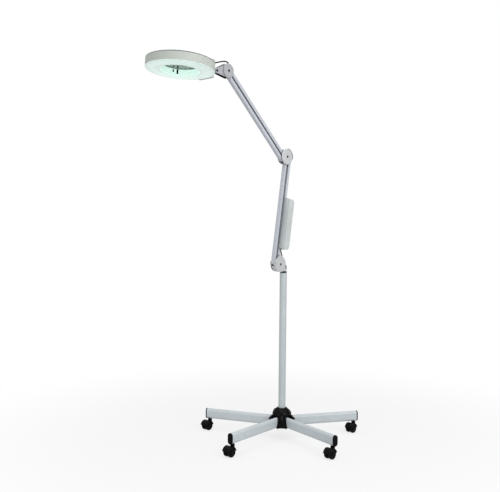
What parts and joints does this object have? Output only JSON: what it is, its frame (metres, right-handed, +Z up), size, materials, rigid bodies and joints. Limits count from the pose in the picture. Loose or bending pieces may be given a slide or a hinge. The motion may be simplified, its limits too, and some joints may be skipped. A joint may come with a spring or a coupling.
{
  "type": "floor-standing magnifying lamp",
  "caption": "Magnifying lamp on a wheeled star base: a round lighted lens head on jointed parallelogram arms above a slim column.",
  "frame": {"origin": "on the floor, on the axis of the column", "axes": "+Z up along the column; +X from the column towards the lamp head, in the plane of the arms; +Y completes a right-handed frame"},
  "size_m": [0.9492, 0.6187, 1.4243],
  "materials": {
    "black_plastic": "moulded black plastic, satin",
    "dark_steel": "dark painted steel",
    "zinc_steel": "zinc-plated steel",
    "leg_paint": "pale blue-grey powder coat",
    "column_paint": "pale blue-grey powder coat",
    "wheel_plastic": "black moulded wheel",
    "white_casting": "off-white painted casting",
    "white_plastic": "off-white moulded plastic",
    "black_bolt": "black-oxide steel",
    "arm_paint": "off-white enamel on square tube",
    "spring_steel": "spring wire",
    "box_plastic": "pale grey moulded plastic",
    "choke_iron": "varnished iron laminations and winding",
    "plate_paint": "off-white painted plate",
    "black_plate": "black painted plate",
    "lug_paint": "grey painted lug",
    "head_paint": "pale grey-green enamel",
    "cover_plastic": "grey-green moulded plastic",
    "reflector_white": "white reflector enamel",
    "diffuser_plastic": "translucent mint-white plastic",
    "tube_glass": "phosphor-coated glass",
    "holder_plastic": "white plastic",
    "lens_glass": "clear optical glass with a green edge",
    "ring_plastic": "pale mint plastic",
    "cable_rubber": "black cable sheath"
  },
  "bodies": {
    "base": {"hub_shell": "black_plastic", "hub_core": "dark_steel", "hub_bolts": "zinc_steel", "leg_1": "leg_paint", "leg_2": "leg_paint", "leg_3": "leg_paint", "leg_4": "leg_paint", "leg_5": "leg_paint", "leg_end_caps": "black_plastic", "column_tube": "column_paint", "column_bushing": "black_plastic"},
    "caster_1": {"caster_hood_1": "black_plastic", "caster_pins_1": "zinc_steel"},
    "wheels_1": {"caster_wheels_1": "wheel_plastic"},
    "caster_2": {"caster_hood_2": "black_plastic", "caster_pins_2": "zinc_steel"},
    "wheels_2": {"caster_wheels_2": "wheel_plastic"},
    "caster_3": {"caster_hood_3": "black_plastic", "caster_pins_3": "zinc_steel"},
    "wheels_3": {"caster_wheels_3": "wheel_plastic"},
    "caster_4": {"caster_hood_4": "black_plastic", "caster_pins_4": "zinc_steel"},
    "wheels_4": {"caster_wheels_4": "wheel_plastic"},
    "caster_5": {"caster_hood_5": "black_plastic", "caster_pins_5": "zinc_steel"},
    "wheels_5": {"caster_wheels_5": "wheel_plastic"},
    "bracket": {"arm_bracket": "white_casting", "bracket_cover": "white_plastic", "bracket_pins": "black_bolt", "power_cable": "cable_rubber"},
    "bracket_clamp": {"bracket_knob": "black_plastic"},
    "lower_front": {"lower_front_bar": "arm_paint", "lower_spring": "spring_steel"},
    "lower_rear": {"lower_rear_bar": "arm_paint", "ballast_tray": "box_plastic", "ballast_cover": "box_plastic", "ballast_choke": "choke_iron"},
    "elbow": {"elbow_plates": "plate_paint", "elbow_cap": "white_plastic", "elbow_pins": "black_bolt"},
    "elbow_clamp": {"elbow_knob": "black_plastic"},
    "upper_front": {"upper_front_bar": "arm_paint", "upper_spring": "spring_steel"},
    "upper_rear": {"upper_rear_bar": "arm_paint"},
    "head_link": {"link_near": "plate_paint", "link_far": "black_plate", "head_cap": "white_plastic", "head_pins": "black_bolt", "head_cable": "cable_rubber"},
    "head": {"head_lug": "lug_paint", "head_housing": "head_paint", "top_cover": "cover_plastic", "reflector": "reflector_white", "diffuser": "diffuser_plastic", "lamp_tube": "tube_glass", "lamp_holder": "holder_plastic", "lens": "lens_glass", "lens_ring": "ring_plastic"},
    "cover": {"lens_cover": "cover_plastic"},
    "rocker": {"switch_rocker": "black_plastic"}
  },
  "joints": [
    {"name": "caster_1_swivel", "type": "hinge", "parent": "base", "child": "caster_1", "pos_m": [0.30691, 0.02593, 0.044], "axis": [0, 0, 1], "continuous": true},
    {"name": "wheels_1_spin", "type": "hinge", "parent": "caster_1", "child": "wheels_1", "pos_m": [0.32291, 0.02593, 0.018], "axis": [0, 1, 0], "continuous": true},
    {"name": "caster_2_swivel", "type": "hinge", "parent": "base", "child": "caster_2", "pos_m": [0.07018, 0.2999, 0.044], "axis": [0, 0, 1], "continuous": true},
    {"name": "wheels_2_spin", "type": "hinge", "parent": "caster_2", "child": "wheels_2", "pos_m": [0.08618, 0.2999, 0.018], "axis": [0, 1, 0], "continuous": true},
    {"name": "caster_3_swivel", "type": "hinge", "parent": "base", "child": "caster_3", "pos_m": [-0.26354, 0.15941, 0.044], "axis": [0, 0, 1], "continuous": true},
    {"name": "wheels_3_spin", "type": "hinge", "parent": "caster_3", "child": "wheels_3", "pos_m": [-0.24754, 0.15941, 0.018], "axis": [0, 1, 0], "continuous": true},
    {"name": "caster_4_swivel", "type": "hinge", "parent": "base", "child": "caster_4", "pos_m": [-0.23305, -0.20138, 0.044], "axis": [0, 0, 1], "continuous": true},
    {"name": "wheels_4_spin", "type": "hinge", "parent": "caster_4", "child": "wheels_4", "pos_m": [-0.21705, -0.20138, 0.018], "axis": [0, 1, 0], "continuous": true},
    {"name": "caster_5_swivel", "type": "hinge", "parent": "base", "child": "caster_5", "pos_m": [0.1195, -0.28387, 0.044], "axis": [0, 0, 1], "continuous": true},
    {"name": "wheels_5_spin", "type": "hinge", "parent": "caster_5", "child": "wheels_5", "pos_m": [0.1355, -0.28387, 0.018], "axis": [0, 1, 0], "continuous": true},
    {"name": "arm_swivel", "type": "hinge", "parent": "base", "child": "bracket", "pos_m": [0, 0, 0.6505], "axis": [0, 0, 1], "range_deg": [-170, 170]},
    {"name": "lower_arm", "type": "hinge", "parent": "bracket", "child": "lower_front", "pos_m": [0.062, 0, 0.6915], "axis": [0, 1, 0], "range_deg": [-20, 58]},
    {"name": "lower_rear_follow", "type": "hinge", "parent": "bracket", "child": "lower_rear", "pos_m": [0.04, 0, 0.6915], "axis": [0, 1, 0], "range_deg": [-20, 58]},
    {"name": "elbow_follow", "type": "hinge", "parent": "lower_front", "child": "elbow", "pos_m": [-0.00447, 0, 1.09608], "axis": [0, 1, 0], "range_deg": [-58, 20]},
    {"name": "upper_arm", "type": "hinge", "parent": "elbow", "child": "upper_front", "pos_m": [0.02066, 0, 1.09372], "axis": [0, 1, 0], "range_deg": [-35, 62]},
    {"name": "upper_rear_follow", "type": "hinge", "parent": "elbow", "child": "upper_rear", "pos_m": [0.01105, 0, 1.11152], "axis": [0, 1, 0], "range_deg": [-35, 62]},
    {"name": "head_link_follow", "type": "hinge", "parent": "upper_front", "child": "head_link", "pos_m": [0.32217, 0, 1.37155], "axis": [0, 1, 0], "range_deg": [-62, 35]},
    {"name": "head_tilt", "type": "hinge", "parent": "head_link", "child": "head", "pos_m": [0.38384, 0, 1.37786], "axis": [0, 1, 0], "range_deg": [-55, 75]},
    {"name": "lens_cover_hinge", "type": "hinge", "parent": "head", "child": "cover", "pos_m": [0.46719, 0, 1.38967], "axis": [0, 1, 0], "range_deg": [-85, 0]},
    {"name": "switch_rock", "type": "hinge", "parent": "head", "child": "rocker", "pos_m": [0.43798, 0, 1.40202], "axis": [0, 1, 0], "range_deg": [0, 16]},
    {"name": "bracket_knob_turn", "type": "hinge", "parent": "bracket", "child": "bracket_clamp", "pos_m": [0.032, -0.012, 0.6855], "axis": [0, 1, 0], "range_deg": [-180, 180]},
    {"name": "elbow_knob_turn", "type": "hinge", "parent": "elbow", "child": "elbow_clamp", "pos_m": [-0.00297, -0.012, 1.10608], "axis": [0, 1, 0], "range_deg": [-180, 180]}
  ],
  "couplings": [
    {"joint": "lower_rear_follow", "follows": "lower_arm", "ratio": 1},
    {"joint": "elbow_follow", "follows": "lower_arm", "ratio": -1},
    {"joint": "upper_rear_follow", "follows": "upper_arm", "ratio": 1},
    {"joint": "head_link_follow", "follows": "upper_arm", "ratio": -1}
  ]
}
